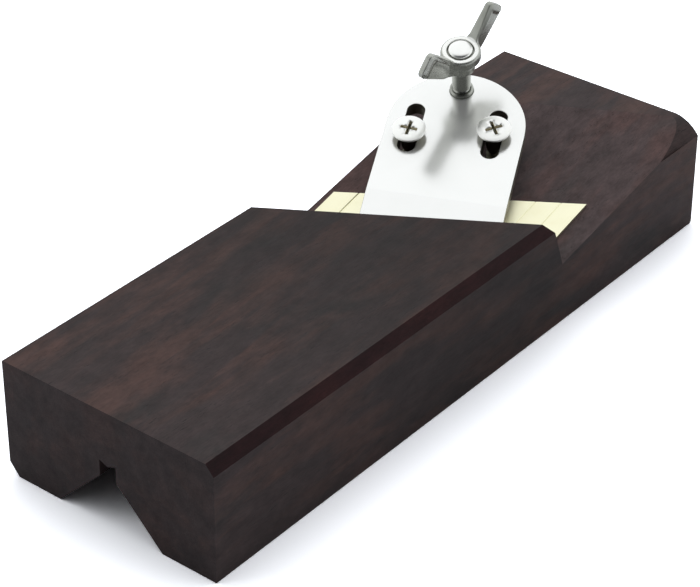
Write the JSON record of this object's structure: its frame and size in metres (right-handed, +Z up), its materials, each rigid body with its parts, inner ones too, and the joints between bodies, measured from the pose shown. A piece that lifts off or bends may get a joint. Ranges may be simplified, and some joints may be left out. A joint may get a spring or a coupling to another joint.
{
  "type": "chamfer plane",
  "caption": "Hand-held wooden chamfer plane with a grooved sole, a skewed low-angle bed, a scored blade and a slotted steel lever cap clamped by a wing screw.",
  "frame": {"origin": "middle of the sole, half way between toe and heel", "axes": "+X along the groove from the toe to the heel, +Y to the left of someone looking along +X, +Z up from the sole"},
  "size_m": [0.1542, 0.0501, 0.051],
  "materials": {
    "dark_wood": "dark, close grained, oiled to a low sheen",
    "blade_steel": "ground steel with a pale cream tone",
    "polished_steel": "polished to a mirror",
    "screw_steel": "bright plated",
    "plated_steel": "dull grey plating"
  },
  "bodies": {
    "stock": {"wooden_body": "dark_wood", "left_screw": "screw_steel", "right_screw": "screw_steel"},
    "cutter": {"blade": "blade_steel"},
    "lever": {"lever_cap": "polished_steel", "threaded_bush": "polished_steel"},
    "stud": {"clamp_stud": "plated_steel"},
    "wing": {"wing_head": "plated_steel"}
  },
  "joints": [
    {"name": "blade_slide", "type": "slide", "parent": "stock", "child": "cutter", "axis": [0.819, 0.5221, 0.238], "range_m": [-0.002, 0.003]},
    {"name": "cap_slide", "type": "slide", "parent": "stock", "child": "lever", "axis": [0.8561, 0.3977, 0.3301], "range_m": [-0.0005, 0.0024]},
    {"name": "stud_advance", "type": "slide", "parent": "lever", "child": "stud", "axis": [-0.293, -0.1526, 0.9438], "range_m": [0, 0.0009]},
    {"name": "wing_turn", "type": "hinge", "parent": "stud", "child": "wing", "pos_m": [0.04689, 0.01498, 0.031], "axis": [-0.293, -0.1526, 0.9438], "range_deg": [0, 450]}
  ],
  "couplings": [
    {"joint": "stud_advance", "follows": "wing_turn", "m_per_rad": 0.00011141}
  ]
}
